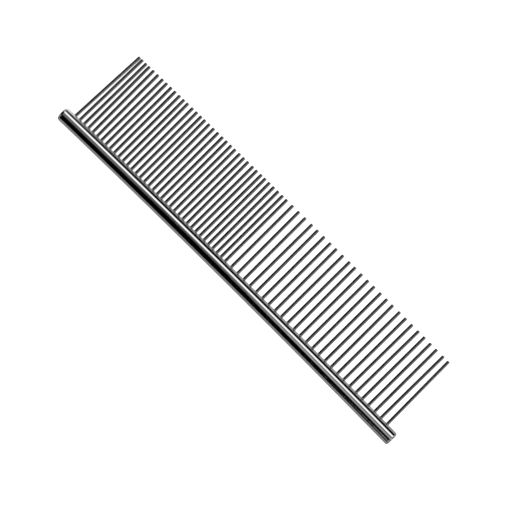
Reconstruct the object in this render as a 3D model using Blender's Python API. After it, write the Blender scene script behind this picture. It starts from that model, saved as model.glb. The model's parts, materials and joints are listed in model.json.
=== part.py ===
"""Steel grooming comb: a round steel bar, drilled along one side, with 62 steel pins pressed into it.

36 pins stand close together for fine combing, and 26 stand wider apart for coarse combing.
Frame: X runs along the bar towards its coarse end, Y from the bar towards the pin tips, Z up.
The comb lies as it does on a table, on the underside of its bar and on its pin tips.
"""

import math
import random

import bpy
import bmesh
from mathutils import Matrix, Vector

# Driving dimensions. Lengths are in metres, angles in degrees.
mm = 0.001

bar_length = 190.5 * mm
bar_diameter = 6.35 * mm
bar_rim_round = 1.0 * mm         # rounding of the rim of each end face
bar_bow = 0.85 * mm              # pins pressed into one side only bow the bar towards them
bar_sides = 32
bar_stations = 10                # straight pieces that stand for the bow

pin_diameter = 1.4 * mm
pin_reach = 36.2 * mm            # from the crown of the bar to the tip
pin_depth = 4.5 * mm             # how far the pin is pressed into the bar
pin_tip_round = 0.3 * mm
pin_sides = 12

hole_clearance = 0.05 * mm       # a hairline round each pin, where the real fit is tight
hole_floor_gap = 0.15 * mm       # left under each pin's tail
hole_mouth_chamfer = 0.25 * mm

fine_count = 36
fine_pitch = 2.457 * mm
coarse_count = 26
coarse_pitch = 3.61 * mm
section_gap = 3.49 * mm          # from the last fine pin to the first coarse pin
fine_end_margin = 4.87 * mm      # from the bar's fine end to the first fine pin

# Leans towards the coarse end. A pressed row is never quite even, and the pins nearest the ends
# are the ones that use knocks inwards.
usual_lean = 0.2                 # spread of the ordinary pins
largest_usual_lean = 0.4
knocked_pins = {
    ("fine", 1): 2.8,
    ("fine", 2): 1.4,
    ("fine", 3): 0.9,
    ("coarse", coarse_count): -0.9,
}

# The last coarse pins are bridged two by two inside the bar, which keeps the comb within sixty solids.
bridged_pairs = 3
bridge_thickness = 0.7 * mm
bridge_lift = 0.15 * mm          # from the pins' tails up to the underside of the bridge
bridge_clearance = 0.1 * mm      # between the bridge and the slot that it lies in

bar_radius = bar_diameter / 2
pin_radius = pin_diameter / 2
bow_radius = bar_length ** 2 / (8 * bar_bow)


# -------------------------------------------------------------------- objects and finishes

def clear_scene():
    for thing in list(bpy.data.objects):
        bpy.data.objects.remove(thing, do_unlink=True)


def plated_steel(name, colour, roughness):
    material = bpy.data.materials.new(name)
    material.use_nodes = True
    shader = material.node_tree.nodes["Principled BSDF"]
    shader.inputs["Base Color"].default_value = (*colour, 1.0)
    shader.inputs["Metallic"].default_value = 1.0
    shader.inputs["Roughness"].default_value = roughness
    return material


def new_mesh(name, shape, material=None):
    """Turn a bmesh into a mesh that is smooth on its round sides."""
    mesh = bpy.data.meshes.new(name)
    shape.to_mesh(mesh)
    shape.free()
    mesh.shade_smooth()
    mesh.set_sharp_from_angle(angle=math.radians(35))
    if material:
        mesh.materials.append(material)
    return mesh


def add_object(name, mesh, comb, collection=None):
    thing = bpy.data.objects.new(name, mesh)
    (collection or bpy.context.scene.collection).objects.link(thing)
    thing.parent = comb
    return thing


def make_helper(thing):
    """A cutter or a guide: it shapes another object and isn't part of the comb."""
    thing.hide_render = True
    thing.display_type = "WIRE"


def add_boolean(thing, name, operation):
    modifier = thing.modifiers.new(name, "BOOLEAN")
    modifier.operation = operation
    modifier.solver = "EXACT"
    return modifier


# -------------------------------------------------------------------- places along the bowed bar

def bow_angle(distance):
    """How far the bow has turned at a distance along the bar, measured from its middle."""
    return distance / bow_radius


def on_bow(distance, height):
    """A point in the comb's plane, at a distance along the bar and a height out from its axis."""
    angle = bow_angle(distance)
    reach = bow_radius + height
    return Vector((reach * math.sin(angle), reach * math.cos(angle) - bow_radius, 0.0))


def pin_places():
    """Section, number and distance along the bar of every pin, from the fine end."""
    places = []
    distance = fine_end_margin - bar_length / 2
    for number in range(1, fine_count + 1):
        places.append(("fine", number, distance))
        distance += fine_pitch
    distance += section_gap - fine_pitch
    for number in range(1, coarse_count + 1):
        places.append(("coarse", number, distance))
        distance += coarse_pitch
    return places


def pin_lean(section, number, chance):
    """The lean of one pin in degrees. A draw is made for every pin, so that the order stays fixed."""
    drawn = chance.gauss(0.0, usual_lean)
    drawn = max(-largest_usual_lean, min(largest_usual_lean, drawn))
    return knocked_pins.get((section, number), drawn)


def stand_on_crown(thing, distance, lean):
    """Stand an object drawn along Z on the bar's crown, pointing out from the bar."""
    thing.location = on_bow(distance, bar_radius)
    thing.rotation_euler = (math.radians(-90), 0.0, -bow_angle(distance) - math.radians(lean))


def lay_between_tails(thing, distance):
    """Lay an object drawn along X across the tails of two pins that are evenly about a distance."""
    height = bar_radius - pin_depth + bridge_lift + bridge_thickness / 2
    thing.location = on_bow(distance, height)
    thing.rotation_euler = (0.0, 0.0, -bow_angle(distance))


# -------------------------------------------------------------------- shapes

def bar_shape():
    """A round disc swept along the bow, with the rims of both end faces rounded."""
    half_angle = bow_angle(bar_length / 2)
    shape = bmesh.new()
    across = Matrix.Rotation(math.radians(90), 4, "Y")
    along_bow = Matrix.Rotation(half_angle, 4, "Z")
    fine_end = Matrix.Translation(on_bow(-bar_length / 2, 0.0))
    bmesh.ops.create_circle(
        shape,
        cap_ends=True,
        segments=bar_sides,
        radius=bar_radius,
        matrix=fine_end @ along_bow @ across,
    )
    bmesh.ops.spin(
        shape,
        geom=shape.verts[:] + shape.edges[:] + shape.faces[:],
        cent=(0.0, -bow_radius, 0.0),
        axis=(0.0, 0.0, 1.0),
        angle=-2 * half_angle,
        steps=bar_stations,
    )
    bmesh.ops.recalc_face_normals(shape, faces=shape.faces)
    end_faces = [face for face in shape.faces if len(face.verts) == bar_sides]
    rims = {edge for face in end_faces for edge in face.edges}
    round_edges(shape, list(rims), bar_rim_round, 3)
    return shape


def round_edges(shape, edges, width, segments):
    bmesh.ops.bevel(
        shape,
        geom=edges,
        offset=width,
        segments=segments,
        profile=0.5,
        affect="EDGES",
        material=-1,
    )


def rod_shape(radius, low, high):
    """A closed rod along Z."""
    shape = bmesh.new()
    bmesh.ops.create_cone(
        shape,
        cap_ends=True,
        segments=pin_sides,
        radius1=radius,
        radius2=radius,
        depth=high - low,
        matrix=Matrix.Translation((0.0, 0.0, (low + high) / 2)),
    )
    return shape


def top_face(shape):
    return max(shape.faces, key=lambda face: face.calc_center_median().z)


def pin_shape():
    """One pin along Z, with Z = 0 at the bar's crown and a blunt tip with its edge taken off."""
    shape = rod_shape(pin_radius, -pin_depth, pin_reach)
    round_edges(shape, top_face(shape).edges[:], pin_tip_round, 1)
    return shape


def drill_shape():
    """What the drill and then the countersink take out of the bar for one pin."""
    radius = pin_radius + hole_clearance
    shape = rod_shape(radius, -pin_depth - hole_floor_gap, -hole_mouth_chamfer)
    flared = bmesh.ops.extrude_discrete_faces(shape, faces=[top_face(shape)])["faces"][0]
    flare = 1.0 + 2 * hole_mouth_chamfer / radius
    for vertex in flared.verts:
        vertex.co = Vector((vertex.co.x * flare, vertex.co.y * flare, hole_mouth_chamfer))
    return shape


def bridge_shape(clearance):
    """The block that bridges two tails or, with a clearance, the slot for it."""
    thickness = bridge_thickness + 2 * clearance
    shape = bmesh.new()
    bmesh.ops.create_cube(shape, size=1.0, matrix=Matrix.Diagonal((coarse_pitch, thickness, thickness, 1.0)))
    return shape


# -------------------------------------------------------------------- assembly

def bridge_pins(first, second, distance, comb, tools):
    """Make one solid of two pins, by a bridge between their tails in a slot inside the bar."""
    bridge = add_object("bridge", new_mesh("bridge", bridge_shape(0.0)), comb)
    slot = add_object("slot", new_mesh("slot", bridge_shape(bridge_clearance)), comb, tools)
    for thing in (bridge, slot):
        lay_between_tails(thing, distance)
    for thing in (bridge, slot, second):
        make_helper(thing)
    add_boolean(first, "bridge", "UNION").object = bridge
    add_boolean(first, "second_pin", "UNION").object = second


def lay_on_table(comb, solids):
    """Tip the comb until bar and pin tips both touch the table, with the origin below its middle."""
    tilt = math.asin((bar_radius - pin_radius) / (bar_radius + pin_reach - pin_tip_round))
    comb.rotation_euler.x = -tilt
    bpy.context.view_layer.update()
    points = [thing.matrix_world @ vertex.co for thing in solids for vertex in thing.data.vertices]
    low = [min(point[axis] for point in points) for axis in range(3)]
    high = [max(point[axis] for point in points) for axis in range(3)]
    comb.location = (-(low[0] + high[0]) / 2, -(low[1] + high[1]) / 2, -low[2])


def main():
    clear_scene()
    comb = bpy.data.objects.new("comb", None)
    bpy.context.scene.collection.objects.link(comb)
    tools = bpy.data.collections.new("tools")
    bpy.context.scene.collection.children.link(tools)

    bar_steel = plated_steel("bar_steel", (0.74, 0.74, 0.76), 0.10)
    bar = add_object("bar", new_mesh("bar", bar_shape(), bar_steel), comb)
    pin_meshes = {
        "fine": new_mesh("fine_pin", pin_shape(), plated_steel("fine_pin_steel", (0.70, 0.70, 0.71), 0.18)),
        "coarse": new_mesh("coarse_pin", pin_shape(), plated_steel("coarse_pin_steel", (0.70, 0.70, 0.72), 0.18)),
    }
    drill_mesh = new_mesh("drill", drill_shape())

    chance = random.Random(7)
    pins = {}
    for section, number, distance in pin_places():
        lean = pin_lean(section, number, chance)
        pin = add_object(f"{section}_pin_{number:02d}", pin_meshes[section], comb)
        drill = add_object(f"{section}_drill_{number:02d}", drill_mesh, comb, tools)
        make_helper(drill)
        for thing in (pin, drill):
            stand_on_crown(thing, distance, lean)
        pins[section, number] = (pin, distance)

    first_bridged = coarse_count - 2 * bridged_pairs + 1
    for number in range(first_bridged, coarse_count, 2):
        first, first_distance = pins["coarse", number]
        second, second_distance = pins["coarse", number + 1]
        bridge_pins(first, second, (first_distance + second_distance) / 2, comb, tools)
        first.name = f"coarse_pin_pair_{number:02d}_{number + 1:02d}"

    holes = add_boolean(bar, "pin_holes", "DIFFERENCE")
    holes.operand_type = "COLLECTION"
    holes.collection = tools
    lay_on_table(comb, [bar] + [pin for pin, _ in pins.values()])


main()
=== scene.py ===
# %% [markdown]
# # A steel grooming comb
# The comb is a solid round bar of bright plated steel with one row of straight round pins pressed into
# its side: close-set pins at one end for the undercoat, wide-set pins at the other end for the topcoat.
# The frame already holds all sizes and places as plain faceted solids. This lesson builds the surfaces
# that are seen: a truly round bar with a countersunk hole for every pin, round wires with blunt tips, and
# the plated finishes, then sets up a small product studio.

# %% Load the frame
import json
import math

import bpy
import bmesh
from mathutils import Matrix, Vector


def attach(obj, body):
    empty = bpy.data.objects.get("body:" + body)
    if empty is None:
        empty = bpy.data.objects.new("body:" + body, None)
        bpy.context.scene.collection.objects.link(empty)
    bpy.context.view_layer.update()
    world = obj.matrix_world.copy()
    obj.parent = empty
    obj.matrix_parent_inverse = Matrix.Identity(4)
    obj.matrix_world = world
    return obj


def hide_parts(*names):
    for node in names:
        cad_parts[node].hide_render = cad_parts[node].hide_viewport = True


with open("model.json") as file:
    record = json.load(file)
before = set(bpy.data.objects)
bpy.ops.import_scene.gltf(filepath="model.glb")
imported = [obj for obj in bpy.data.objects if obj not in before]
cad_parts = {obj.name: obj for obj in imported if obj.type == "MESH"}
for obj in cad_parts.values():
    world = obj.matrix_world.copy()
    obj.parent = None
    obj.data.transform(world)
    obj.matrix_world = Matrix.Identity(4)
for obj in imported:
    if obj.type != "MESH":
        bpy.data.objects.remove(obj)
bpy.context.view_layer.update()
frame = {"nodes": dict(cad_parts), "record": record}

mm = 0.001
nodes = frame["nodes"]

# %% [markdown]
# ## Where the bar's bow lies
# Pressing dozens of tight pins into one side of a rod stretches that side, so the rod bows towards its
# pins. The bow could be copied point by point from the frame, but it is a plain arc, and an arc is known
# from its two ends: the record states the centre of each end face and the way that it faces.

# %% Work out the arc of the bar
mounts = {mount["name"]: mount for mount in frame["record"]["mounts"]}
fine_end = Vector(mounts["fine_end_face"]["pos_m"])
coarse_end = Vector(mounts["coarse_end_face"]["pos_m"])
facing = Vector(mounts["coarse_end_face"]["axis"]).normalized()

half_chord = (coarse_end - fine_end).length / 2
half_angle = math.asin(math.hypot(facing.y, facing.z))
bow_radius = half_chord / math.sin(half_angle)
outward = -Vector((0.0, facing.y, facing.z)).normalized()
bow_centre = (fine_end + coarse_end) / 2 - outward * bow_radius * math.cos(half_angle)
comb_normal = Vector((1.0, 0.0, 0.0)).cross(outward)
print("bow", round(bow_radius * (1 - math.cos(half_angle)) / mm, 2), "mm")

# %% [markdown]
# ## Where each pin stands
# Every pin leans a little its own way. Each frame node is a faceted rod, so the middles of its two end
# caps give the line that the finished wire follows. The last six pins come two to a node, joined inside
# the bar, so those nodes are first split into a left and a right half.

# %% Read the pins' axes from the frame
cap_depth = 0.12 * mm            # points this near to an end belong to its cap


def box_middle(points):
    low = Vector([min(point[axis] for point in points) for axis in range(3)])
    high = Vector([max(point[axis] for point in points) for axis in range(3)])
    return (low + high) / 2


def pin_ends(points):
    """The middle of the tail cap and the middle of the tip cap of one faceted pin."""
    tail_y = min(point.y for point in points)
    tip_y = max(point.y for point in points)
    tail = box_middle([point for point in points if point.y < tail_y + cap_depth])
    tip = box_middle([point for point in points if point.y > tip_y - cap_depth])
    return tail, tip


pins = []
for name in sorted(nodes):
    if "pin" not in name:
        continue
    points = [vertex.co.copy() for vertex in nodes[name].data.vertices]
    section = name.split("_")[0]
    numbers = [int(word) for word in name.split("_") if word.isdigit()]
    if len(numbers) == 1:
        groups = [points]
    else:
        middle_x = box_middle(points).x
        groups = [
            [point for point in points if point.x < middle_x],
            [point for point in points if point.x >= middle_x],
        ]
    for number, group in zip(numbers, groups):
        tail, tip = pin_ends(group)
        pins.append({"node": name, "section": section, "number": number, "tail": tail, "tip": tip})
pins.sort(key=lambda pin: pin["tail"].x)
print(len(pins), "pins, each", round((pins[0]["tip"] - pins[0]["tail"]).length / mm, 2), "mm long")

# %% [markdown]
# ## Small helpers
# A colour picked as an sRGB hex value has to become linear before a shader can use it. One function adds
# any shader node together with its settings, values and links, so each finish below reads as a recipe.

# %% Helpers for colours, nodes and objects
def linear(hex_colour):
    channels = [int(hex_colour[at:at + 2], 16) / 255 for at in (1, 3, 5)]
    return tuple(c / 12.92 if c <= 0.04045 else ((c + 0.055) / 1.055) ** 2.4 for c in channels) + (1.0,)


def add_node(tree, kind, sockets=(), **settings):
    """Sockets are (input, value or output socket) pairs. Settings are the node's own properties."""
    node = tree.nodes.new(kind)
    for setting, value in settings.items():
        setattr(node, setting, value)
    for key, value in sockets:
        if isinstance(value, bpy.types.NodeSocket):
            tree.links.new(value, node.inputs[key])
        else:
            node.inputs[key].default_value = value
    return node


def new_material(name):
    """An empty material with its tree and its Principled shader."""
    material = bpy.data.materials.new(name)
    material.use_nodes = True
    return material, material.node_tree, material.node_tree.nodes["Principled BSDF"]


def finish_object(name, shape, materials, sharp_degrees=30):
    """Turn a bmesh into an object at the origin, smooth except at edges sharper than an angle."""
    mesh = bpy.data.meshes.new(name)
    shape.to_mesh(mesh)
    shape.free()
    for material in materials:
        mesh.materials.append(material)
    mesh.shade_smooth()
    mesh.set_sharp_from_angle(angle=math.radians(sharp_degrees))
    thing = bpy.data.objects.new(name, mesh)
    bpy.context.scene.collection.objects.link(thing)
    return thing


# %% [markdown]
# ## Finish 1: bright nickel plate on a polished rod
# The bar is centreless-ground, buffed and then plated, which gives a near mirror. It isn't a perfect one:
# buffing leaves hair-fine lines along the bar, the plate ripples slightly, and handling leaves a few
# scuffs that are a little duller. A plain mirror would look unreal, so these three are added as roughness
# and bump. Real buffing lines are a few micrometres wide. They are drawn about a tenth of a millimetre
# wide so that they show.

# %% Polished nickel plate
plate_colour = linear("#C9C9CB")
buffing_line = 0.12 * mm
buffing_run = 9.0 * mm
line_depth = 0.01 * mm
ripple_size = 6.0 * mm
ripple_depth = 0.05 * mm
scuff_size = 2.5 * mm


def polished_plate():
    material, tree, shader = new_material("bright nickel plate, buffed rod")
    place = add_node(tree, "ShaderNodeTexCoord").outputs["Object"]
    along = add_node(tree, "ShaderNodeMapping", [
        ("Vector", place), ("Scale", (1 / buffing_run, 1 / buffing_line, 1 / buffing_line))])
    lines = add_node(tree, "ShaderNodeTexNoise", [
        ("Vector", along.outputs["Vector"]), ("Scale", 1.0), ("Detail", 3.0), ("Roughness", 0.6)])
    ripple = add_node(tree, "ShaderNodeTexNoise", [
        ("Vector", place), ("Scale", 1 / ripple_size), ("Detail", 1.0)])
    scuffs = add_node(tree, "ShaderNodeTexNoise", [
        ("Vector", place), ("Scale", 1 / scuff_size), ("Detail", 6.0), ("Roughness", 0.7)])
    rough = add_node(tree, "ShaderNodeMapRange", [
        ("Value", scuffs.outputs["Fac"]), ("From Min", 0.45), ("From Max", 0.75),
        ("To Min", 0.06), ("To Max", 0.14)])
    line_bump = add_node(tree, "ShaderNodeBump", [
        ("Height", lines.outputs["Fac"]), ("Strength", 0.12), ("Distance", line_depth)])
    ripple_bump = add_node(tree, "ShaderNodeBump", [
        ("Height", ripple.outputs["Fac"]), ("Normal", line_bump.outputs["Normal"]),
        ("Strength", 0.3), ("Distance", ripple_depth)])
    shader.inputs["Base Color"].default_value = plate_colour
    shader.inputs["Metallic"].default_value = 1.0
    tree.links.new(rough.outputs["Result"], shader.inputs["Roughness"])
    tree.links.new(ripple_bump.outputs["Normal"], shader.inputs["Normal"])
    return material


rod_plate = polished_plate()
print("made", rod_plate.name)

# %% [markdown]
# ## Finish 2: faced ends
# The rod is parted off and its ends are faced in a lathe, so under the plate each end face carries fine
# rings. The rings are drawn around the bar's own axis, which at either end is close to the X axis through
# that end.

# %% Lathe-faced end
facing_feed = 0.25 * mm


def faced_plate():
    material, tree, shader = new_material("bright nickel plate, lathe-faced")
    place = add_node(tree, "ShaderNodeTexCoord").outputs["Object"]
    centred = add_node(tree, "ShaderNodeMapping", [
        ("Vector", place), ("Location", -fine_end), ("Scale", (0.0, 1.0, 1.0))])
    rings = add_node(tree, "ShaderNodeTexWave", [
        ("Vector", centred.outputs["Vector"]), ("Scale", math.pi / (10 * facing_feed)),
        ("Distortion", 0.6), ("Detail", 2.0)], wave_type="RINGS", rings_direction="X")
    bump = add_node(tree, "ShaderNodeBump", [
        ("Height", rings.outputs["Fac"]), ("Strength", 0.35), ("Distance", line_depth)])
    shader.inputs["Base Color"].default_value = plate_colour
    shader.inputs["Metallic"].default_value = 1.0
    shader.inputs["Roughness"].default_value = 0.22
    tree.links.new(bump.outputs["Normal"], shader.inputs["Normal"])
    return material


end_plate = faced_plate()
print("made", end_plate.name)

# %% [markdown]
# ## Finish 3: plated countersinks, with a painted highlight
# The countersink that breaks the edge of each drilled hole can't be buffed, so its plate is duller. A
# dull metal gathers light from all round, which leaves a soft pale spot at each pin's root. Its base
# colour is also painted a lighter grey than the bar's plate. That is a painted highlight, which makes the
# spot paler still. The marks of the cutting edge are drawn as a small noise in the roughness, because
# they are too shallow to need bump.

# %% Plate inside the hole mouths
chatter_size = 0.3 * mm


def unbuffed_plate_painted_lighter():
    material, tree, shader = new_material("nickel plate in the countersinks, painted lighter")
    place = add_node(tree, "ShaderNodeTexCoord").outputs["Object"]
    chatter = add_node(tree, "ShaderNodeTexNoise", [("Vector", place), ("Scale", 1 / chatter_size)])
    rough = add_node(tree, "ShaderNodeMapRange", [
        ("Value", chatter.outputs["Fac"]), ("To Min", 0.5), ("To Max", 0.7)])
    # painted highlight: a lighter grey than the bar's plate, so that the spot at each pin's root shows
    # paler
    shader.inputs["Base Color"].default_value = linear("#D2D2D3")
    shader.inputs["Metallic"].default_value = 1.0
    tree.links.new(rough.outputs["Result"], shader.inputs["Roughness"])
    return material


mouth_plate_painted_lighter = unbuffed_plate_painted_lighter()
print("made", mouth_plate_painted_lighter.name)

# %% [markdown]
# ## Finish 4: plated drawn wire
# The pins are cut from drawn wire. Drawing leaves straight lines along the wire, and the thin plate over
# them stays a little softer than the buffed bar. The lines are one noise stretched along the pins'
# direction, Y. The tips are cropped and then rumbled in a barrel of stones, which leaves them finely
# pitted.

# %% Drawn wire and its cropped tip
wire_line = 0.10 * mm
wire_run = 6.0 * mm
wire_patch = 4.0 * mm
pit_size = 0.2 * mm


def drawn_wire():
    material, tree, shader = new_material("bright nickel plate, drawn wire")
    place = add_node(tree, "ShaderNodeTexCoord").outputs["Object"]
    along = add_node(tree, "ShaderNodeMapping", [
        ("Vector", place), ("Scale", (1 / wire_line, 1 / wire_run, 1 / wire_line))])
    lines = add_node(tree, "ShaderNodeTexNoise", [
        ("Vector", along.outputs["Vector"]), ("Scale", 1.0), ("Detail", 2.0)])
    patches = add_node(tree, "ShaderNodeTexNoise", [
        ("Vector", place), ("Scale", 1 / wire_patch), ("Detail", 4.0)])
    rough = add_node(tree, "ShaderNodeMapRange", [
        ("Value", patches.outputs["Fac"]), ("From Min", 0.35), ("From Max", 0.7),
        ("To Min", 0.08), ("To Max", 0.16)])
    bump = add_node(tree, "ShaderNodeBump", [
        ("Height", lines.outputs["Fac"]), ("Strength", 0.2), ("Distance", line_depth)])
    shader.inputs["Base Color"].default_value = linear("#C2C2C3")
    shader.inputs["Metallic"].default_value = 1.0
    tree.links.new(rough.outputs["Result"], shader.inputs["Roughness"])
    tree.links.new(bump.outputs["Normal"], shader.inputs["Normal"])
    return material


def rumbled_tip():
    material, tree, shader = new_material("nickel plate, rumbled wire tip")
    place = add_node(tree, "ShaderNodeTexCoord").outputs["Object"]
    pits = add_node(tree, "ShaderNodeTexNoise", [("Vector", place), ("Scale", 1 / pit_size)])
    bump = add_node(tree, "ShaderNodeBump", [
        ("Height", pits.outputs["Fac"]), ("Strength", 0.3), ("Distance", line_depth)])
    shader.inputs["Base Color"].default_value = linear("#B9B9BA")
    shader.inputs["Metallic"].default_value = 1.0
    shader.inputs["Roughness"].default_value = 0.3
    tree.links.new(bump.outputs["Normal"], shader.inputs["Normal"])
    return material


wire_plate = drawn_wire()
tip_plate = rumbled_tip()
print("made", wire_plate.name, "and", tip_plate.name)

# %% [markdown]
# ## The bar
# A straight cylinder bent with a modifier would do, but a spin is simpler and exact: a disc stands on the
# fine end, facing along the arc, and turns about the far-off centre of the bow until it reaches the
# coarse end. Both rims are then well rounded, as on a real rod that has to sit in the hand.

# %% Sweep the bar along its bow
bar_radius = 6.35 * mm / 2
bar_rim_round = 1.0 * mm
bar_rim_steps = 8
bar_sides = 160
bar_stations = 96
ring_offset = 0.05 * mm          # from a rounded edge to the ring that holds its shading


def round_edges(shape, edges, width, segments):
    return bmesh.ops.bevel(shape, geom=edges, offset=width, segments=segments, profile=0.5,
                           affect="EDGES", material=-1)


def hold_ring(shape, point, direction):
    """Cut one more ring of edges, so that only the strip beyond it shades into the rim."""
    bmesh.ops.bisect_plane(shape, geom=shape.verts[:] + shape.edges[:] + shape.faces[:],
                           plane_co=point, plane_no=direction)


def bar_shape():
    shape = bmesh.new()
    fine_facing = Vector((-facing.x, facing.y, facing.z))
    upright = fine_facing.to_track_quat("Z", "Y").to_matrix().to_4x4()
    bmesh.ops.create_circle(shape, cap_ends=True, segments=bar_sides, radius=bar_radius,
                            matrix=Matrix.Translation(fine_end) @ upright)
    bmesh.ops.spin(shape, geom=shape.verts[:] + shape.edges[:] + shape.faces[:], cent=bow_centre,
                   axis=comb_normal, angle=-2 * half_angle, steps=bar_stations)
    bmesh.ops.recalc_face_normals(shape, faces=shape.faces)
    ends = [face for face in shape.faces if len(face.verts) == bar_sides]
    for face in ends:
        face.material_index = 1
    rims = list({edge for face in ends for edge in face.edges})
    for face in round_edges(shape, rims, bar_rim_round, bar_rim_steps)["faces"]:
        face.material_index = 0
    flats = [face for face in shape.faces if len(face.verts) == bar_sides]
    bmesh.ops.inset_individual(shape, faces=flats, thickness=ring_offset)
    for end, away in ((fine_end, fine_facing), (coarse_end, facing)):
        hold_ring(shape, end - away * (bar_rim_round + ring_offset), away)
    return shape


bar = finish_object("plated_bar", bar_shape(), [rod_plate, end_plate, mouth_plate_painted_lighter])
print("the bar has", len(bar.data.polygons), "faces")

# %% [markdown]
# ## The pin holes
# Each hole is drilled along its pin's own line and then countersunk, and where a cone meets a round bar
# the mouth comes out saddle-shaped. Drawing that edge by hand is hard and a Boolean cut gives it exactly.
# One cutter mesh holds all the drills, so the bar is cut once, and the drills are deleted afterwards.

# %% Drill and countersink the bar
pin_radius = 1.4 * mm / 2
hole_gap = 0.02 * mm
hole_radius = pin_radius + hole_gap
hole_sides = 32
hole_below_tail = 0.1 * mm
mouth_chamfer = 0.25 * mm
mouth_sharp_degrees = 25


def axis_frame(tail, tip):
    """A placing matrix with its origin at the tail and its Z along the pin."""
    turn = (tip - tail).to_track_quat("Z", "X").to_matrix().to_4x4()
    return Matrix.Translation(tail) @ turn


def crown_height(pin):
    """How far along a pin, from its tail, its line comes out of the bar."""
    direction = (pin["tip"] - pin["tail"]).normalized()
    across = pin["tail"] - bow_centre
    half = across.dot(direction)
    surface = bow_radius + bar_radius
    return -half + math.sqrt(half * half - across.length_squared + surface * surface)


def add_drill(drills, pin):
    """A drill with its flared countersink, standing where the pin will go."""
    top = crown_height(pin) - mouth_chamfer
    made = bmesh.ops.create_cone(drills, cap_ends=True, segments=hole_sides, radius1=hole_radius,
                                 radius2=hole_radius, depth=top + hole_below_tail)["verts"]
    shift = (top - hole_below_tail) / 2
    bmesh.ops.translate(drills, verts=made, vec=(0.0, 0.0, shift))
    faces = {face for vertex in made for face in vertex.link_faces}
    mouth = max(faces, key=lambda face: face.calc_center_median().z)
    flared = bmesh.ops.extrude_discrete_faces(drills, faces=[mouth])["faces"][0]
    flare = 1.0 + 2 * mouth_chamfer / hole_radius
    bmesh.ops.scale(drills, verts=flared.verts[:], vec=(flare, flare, 1.0))
    bmesh.ops.translate(drills, verts=flared.verts[:], vec=(0.0, 0.0, 2 * mouth_chamfer))
    bmesh.ops.transform(drills, verts=made + flared.verts[:], matrix=axis_frame(pin["tail"], pin["tip"]))


def drill_bar():
    """Cut all holes at once and keep the result as the bar's own mesh."""
    drills = bmesh.new()
    for pin in pins:
        add_drill(drills, pin)
    for face in drills.faces:
        face.material_index = 2
    cutter = finish_object("drills", drills, [rod_plate, end_plate, mouth_plate_painted_lighter])
    cut = bar.modifiers.new("pin_holes", "BOOLEAN")
    cut.operation = "DIFFERENCE"
    cut.object = cutter
    evaluated = bar.evaluated_get(bpy.context.evaluated_depsgraph_get())
    drilled = bpy.data.meshes.new_from_object(evaluated)
    bar.modifiers.clear()
    bar.data = drilled
    bpy.data.objects.remove(cutter)
    drilled.set_sharp_from_angle(angle=math.radians(mouth_sharp_degrees))


drill_bar()
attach(bar, "root")
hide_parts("bar")
print("drilled", len(pins), "holes; the bar now has", len(bar.data.polygons), "faces")

# %% [markdown]
# ## The pins
# A pin is a length of wire: its tail is cropped square and driven into the bar, and its tip is blunt with
# the edge tumbled off, so that it doesn't scratch skin. A cylinder whose two rims are bevelled is the
# whole shape. Each pin is its own object, because each is its own piece of wire.

# %% Make the pins
pin_sides = 28
tip_round = 0.32 * mm
tip_round_steps = 4
tail_chamfer = 0.12 * mm


def pin_shape(pin):
    """One wire along its own line, chamfered at its tail and rounded at its tip."""
    shape = bmesh.new()
    length = (pin["tip"] - pin["tail"]).length
    bmesh.ops.create_cone(shape, cap_ends=True, segments=pin_sides, radius1=pin_radius,
                          radius2=pin_radius, depth=length)
    bmesh.ops.translate(shape, verts=shape.verts, vec=(0.0, 0.0, length / 2))
    tail, tip = sorted((face for face in shape.faces if len(face.verts) == pin_sides),
                       key=lambda face: face.calc_center_median().z)
    tip.material_index = 1
    round_edges(shape, tail.edges[:], tail_chamfer, 1)
    tip = max(shape.faces, key=lambda face: face.calc_center_median().z)
    for face in round_edges(shape, tip.edges[:], tip_round, tip_round_steps)["faces"]:
        face.material_index = 1
    tip = max(shape.faces, key=lambda face: face.calc_center_median().z)
    bmesh.ops.inset_individual(shape, faces=[tip], thickness=ring_offset)
    for height in (tail_chamfer + ring_offset, length - tip_round - ring_offset):
        hold_ring(shape, (0.0, 0.0, height), (0.0, 0.0, 1.0))
    bmesh.ops.transform(shape, verts=shape.verts, matrix=axis_frame(pin["tail"], pin["tip"]))
    return shape


for pin in pins:
    wire = finish_object(f"{pin['section']}_wire_{pin['number']:02d}", pin_shape(pin),
                         [wire_plate, tip_plate], sharp_degrees=60)
    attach(wire, "root")
    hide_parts(pin["node"])
print("made", len(pins), "wires of", len(wire.data.polygons), "faces each")

# %% [markdown]
# ## The floor and the backdrop
# A product studio uses a white sweep that is lit until it burns out to plain white. The floor is a wide
# disc, and a bowl of the same matt white rises around it, so that a low view ends in white too. Both glow
# by themselves, because strong lamps would have to shine on the comb as well. They are the stage and not
# part of the comb. The metal doesn't mirror them: the studio dome below gives it its own quieter
# surroundings, as the grey cards and flags do that are set around bright metal in a studio.

# %% White floor and backdrop
floor_radius = 4.0
floor_glow = 0.92
bowl_height = 4.0
bowl_glow = 0.9
bowl_sides = 48
bowl_rings = 12


def matt_white(name, glow):
    """Matt white card that is lit from behind, as on a light table, so that no shadow greys it."""
    material, _, shader = new_material(name)
    shader.inputs["Base Color"].default_value = linear("#F4F4F4")
    shader.inputs["Roughness"].default_value = 0.9
    shader.inputs["Specular IOR Level"].default_value = 0.1
    shader.inputs["Emission Color"].default_value = linear("#FFFFFF")
    shader.inputs["Emission Strength"].default_value = glow
    return material


def floor_shape():
    shape = bmesh.new()
    bmesh.ops.create_circle(shape, cap_ends=True, segments=bowl_sides, radius=floor_radius)
    return shape


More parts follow.
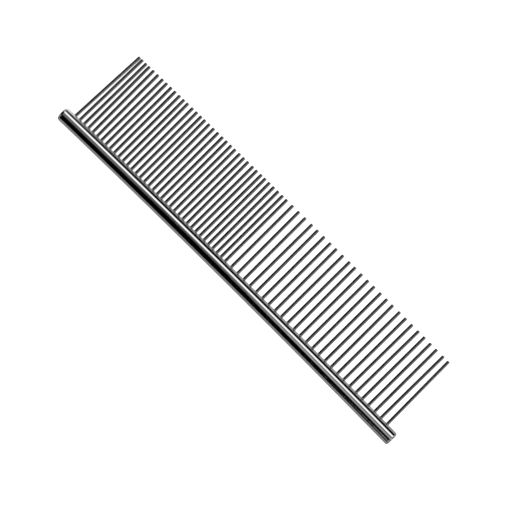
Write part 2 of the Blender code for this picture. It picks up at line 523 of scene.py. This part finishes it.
def bowl_shape():
    """A quarter circle from the floor's edge up to the lip, turned once about the upright axis."""
    shape = bmesh.new()
    step = math.pi / 2 / bowl_rings
    curve = []
    for ring in range(bowl_rings + 1):
        out = floor_radius + bowl_height * math.sin(ring * step)
        up = bowl_height * (1 - math.cos(ring * step))
        curve.append(shape.verts.new((out, 0.0, up)))
    edges = [shape.edges.new(pair) for pair in zip(curve, curve[1:])]
    bmesh.ops.spin(shape, geom=curve + edges, cent=(0.0, 0.0, 0.0), axis=(0.0, 0.0, 1.0),
                   angle=math.tau, steps=bowl_sides, use_merge=True)
    return shape


floor = finish_object("floor", floor_shape(), [matt_white("matt white floor", floor_glow)])
backdrop = finish_object("backdrop", bowl_shape(), [matt_white("matt white backdrop", bowl_glow)],
                         sharp_degrees=60)
for stage in (floor, backdrop):
    stage.visible_glossy = False
backdrop.visible_diffuse = False
backdrop.visible_shadow = False
print("made the floor and the backdrop,", 2 * (floor_radius + bowl_height), "m across")

# %% [markdown]
# ## The studio
# Bright metal has hardly any colour of its own: what is seen on it is the room. So the room is designed
# with the metal in mind. A strip softbox over the pin side gives the white line along the bar, black
# flags in front of it and behind the comb give the crisp dark bands, and a pale wall at the coarse end
# gives every pin its grey flank beside its black one. The room is drawn straight into the world, as
# brightness against direction. Each panel has four marks along Y and four along X, which are parts of a
# direction of length 1: where its light begins, where it is full, where it stops being full and where it
# ends. A mark beyond 1 is never reached, so a panel with such marks runs on to the edge of the room.

# %% Studio dome
# (brightness, four marks along Y, four marks along X)
everywhere = (-3.0, -2.0, 2.0, 3.0)
panels_above = {
    "strip softbox": (1.85, (0.17, 0.59, 0.64, 0.83), (-0.32, -0.19, 0.22, 0.52)),
    "softbox wing at the fine end": (0.9, (0.30, 0.55, 0.65, 0.85), (-0.95, -0.75, -0.45, -0.30)),
    "softbox wing at the coarse end": (0.9, (0.30, 0.55, 0.65, 0.85), (0.30, 0.45, 0.75, 0.95)),
    "ceiling scrim": (0.21, (-0.28, 0.01, 0.04, 0.45), (-0.13, -0.05, -0.03, 0.05)),
    "scrim towards the fine end": (0.30, (-0.47, 0.05, 0.11, 0.16), (-0.27, -0.16, -0.13, -0.09)),
    "reflector behind the comb": (0.53, (-0.45, -0.17, -0.04, 0.18), (-0.06, -0.02, 2.00, 3.00)),
    "pale wall": (0.13, (-0.35, -0.25, 0.29, 0.38), (0.19, 0.32, 2.00, 3.00)),
    "lamp near the pale wall": (0.41, (-0.32, -0.25, 0.18, 0.27), (0.54, 1.00, 2.00, 3.00)),
    "gap between the flags": (0.48, (-0.97, -0.92, -0.83, -0.75), (0.004, 0.016, 0.10, 0.20)),
    "lamp beyond the fine end": (0.35, (0.78, 0.90, 2.0, 3.0), (-0.90, -0.60, -0.178, -0.168)),
    "window at the fine end": (0.6, (-0.95, -0.85, -0.55, -0.40), (-0.90, -0.70, -0.45, -0.28)),
    "window at the coarse end": (0.6, (-0.95, -0.85, -0.55, -0.40), (0.28, 0.45, 0.70, 0.90)),
}
panels_below = {
    "table": (0.22, everywhere, (-0.50, -0.30, 0.28, 0.60)),
    "dim end of the table": (0.06, everywhere, (-3.0, -2.0, -0.65, -0.40)),
    "bright end of the table": (0.24, everywhere, (0.40, 0.67, 2.0, 3.0)),
    "table behind the comb": (0.15, (-3.0, -2.0, -0.40, -0.10), everywhere),
    "table under the softbox": (0.30, (0.15, 0.70, 2.0, 3.0), everywhere),
    "spill at the fine end": (0.80, (0.10, 0.50, 2.0, 3.0), (-0.90, -0.60, -0.178, -0.15)),
}
horizon_blur = 0.03              # how softly the room above meets the table below


def soft_step(tree, value, start, end):
    """0 before the start, 1 after the end and a smooth rise between them."""
    sockets = [("Value", value), ("From Min", start), ("From Max", end)]
    step = add_node(tree, "ShaderNodeMapRange", sockets, interpolation_type="SMOOTHSTEP")
    return step.outputs["Result"]


def combine(tree, operation, first, second):
    node = add_node(tree, "ShaderNodeMath", [(0, first), (1, second)], operation=operation)
    return node.outputs["Value"]


def window(tree, value, marks):
    """1 between the inner marks, 0 outside the outer marks."""
    opening = soft_step(tree, value, marks[0], marks[1])
    closing = soft_step(tree, value, marks[2], marks[3])
    return combine(tree, "SUBTRACT", opening, closing)


def panel_sum(tree, parts, panels):
    """The brightness of all panels together in each direction."""
    total = 0.0
    for brightness, along_y, along_x in panels.values():
        rows = window(tree, parts["Y"], along_y)
        columns = window(tree, parts["X"], along_x)
        patch = combine(tree, "MULTIPLY", rows, columns)
        total = combine(tree, "ADD", combine(tree, "MULTIPLY", patch, brightness), total)
    return total


def build_dome():
    world = bpy.data.worlds.new("studio dome")
    world.use_nodes = True
    tree = world.node_tree
    tree.nodes.clear()
    direction = add_node(tree, "ShaderNodeTexCoord").outputs["Generated"]
    parts = add_node(tree, "ShaderNodeSeparateXYZ", [("Vector", direction)]).outputs
    above = soft_step(tree, parts["Z"], -horizon_blur, horizon_blur)
    below = combine(tree, "SUBTRACT", 1.0, above)
    upper = combine(tree, "MULTIPLY", panel_sum(tree, parts, panels_above), above)
    lower = combine(tree, "MULTIPLY", panel_sum(tree, parts, panels_below), below)
    glow = add_node(tree, "ShaderNodeBackground", [("Strength", combine(tree, "ADD", upper, lower))])
    glow.inputs["Color"].default_value = linear("#FFFFFF")
    add_node(tree, "ShaderNodeOutputWorld", [("Surface", glow.outputs["Background"])])
    bpy.context.scene.world = world


build_dome()
print("the studio has", len(panels_above) + len(panels_below), "panels")

# %% [markdown]
# ## Light for the sweep
# The floor glows by itself, so it needs hardly any light. One wide, faint light hangs over the comb and
# is kept out of the metal's reflections. It brings the floor up to plain white and leaves almost no
# shadow.

# %% Overhead light
scrim_height = 1.6
scrim_side = 2.4
scrim_power = 8.0


def add_softbox(name, place, size, power):
    data = bpy.data.lights.new(name, "AREA")
    data.shape = "SQUARE"
    data.size = size
    data.energy = power
    box = bpy.data.objects.new(name, data)
    box.location = place
    box.rotation_euler = (-Vector(place)).to_track_quat("-Z", "Y").to_euler()
    box.visible_glossy = False
    box.visible_camera = False
    bpy.context.scene.collection.objects.link(box)


add_softbox("overhead_scrim", (0.0, 0.0, scrim_height), scrim_side, scrim_power)
print("hung one faint light", scrim_height, "m above the comb")

# %% [markdown]
# ## The camera
# A long lens a metre above the comb, a few degrees off straight down towards the back of the bar and
# rolled so that the comb lies across the frame from corner to corner.

# %% Camera
view_azimuth = 38.6
view_elevation = 84.4
view_roll = 6.2
view_distance = 1.0
view_lens = 171.1
aim = Vector((2.87 * mm, -3.98 * mm, 0.0))


def add_camera():
    azimuth = math.radians(view_azimuth)
    elevation = math.radians(view_elevation)
    away = Vector((
        math.sin(azimuth) * math.cos(elevation),
        -math.cos(azimuth) * math.cos(elevation),
        math.sin(elevation),
    ))
    data = bpy.data.cameras.new("camera")
    data.lens = view_lens
    data.sensor_width = 36.0
    data.clip_end = 50.0
    camera = bpy.data.objects.new("camera", data)
    camera.location = aim + away * view_distance
    upright = (-away).to_track_quat("-Z", "Y").to_matrix()
    camera.rotation_euler = (upright @ Matrix.Rotation(math.radians(view_roll), 3, "Z")).to_euler()
    bpy.context.scene.collection.objects.link(camera)
    bpy.context.scene.camera = camera


add_camera()
bpy.context.scene.view_settings.view_transform = "Standard"
print("the camera looks down at", view_elevation, "degrees through a", view_lens, "mm lens")
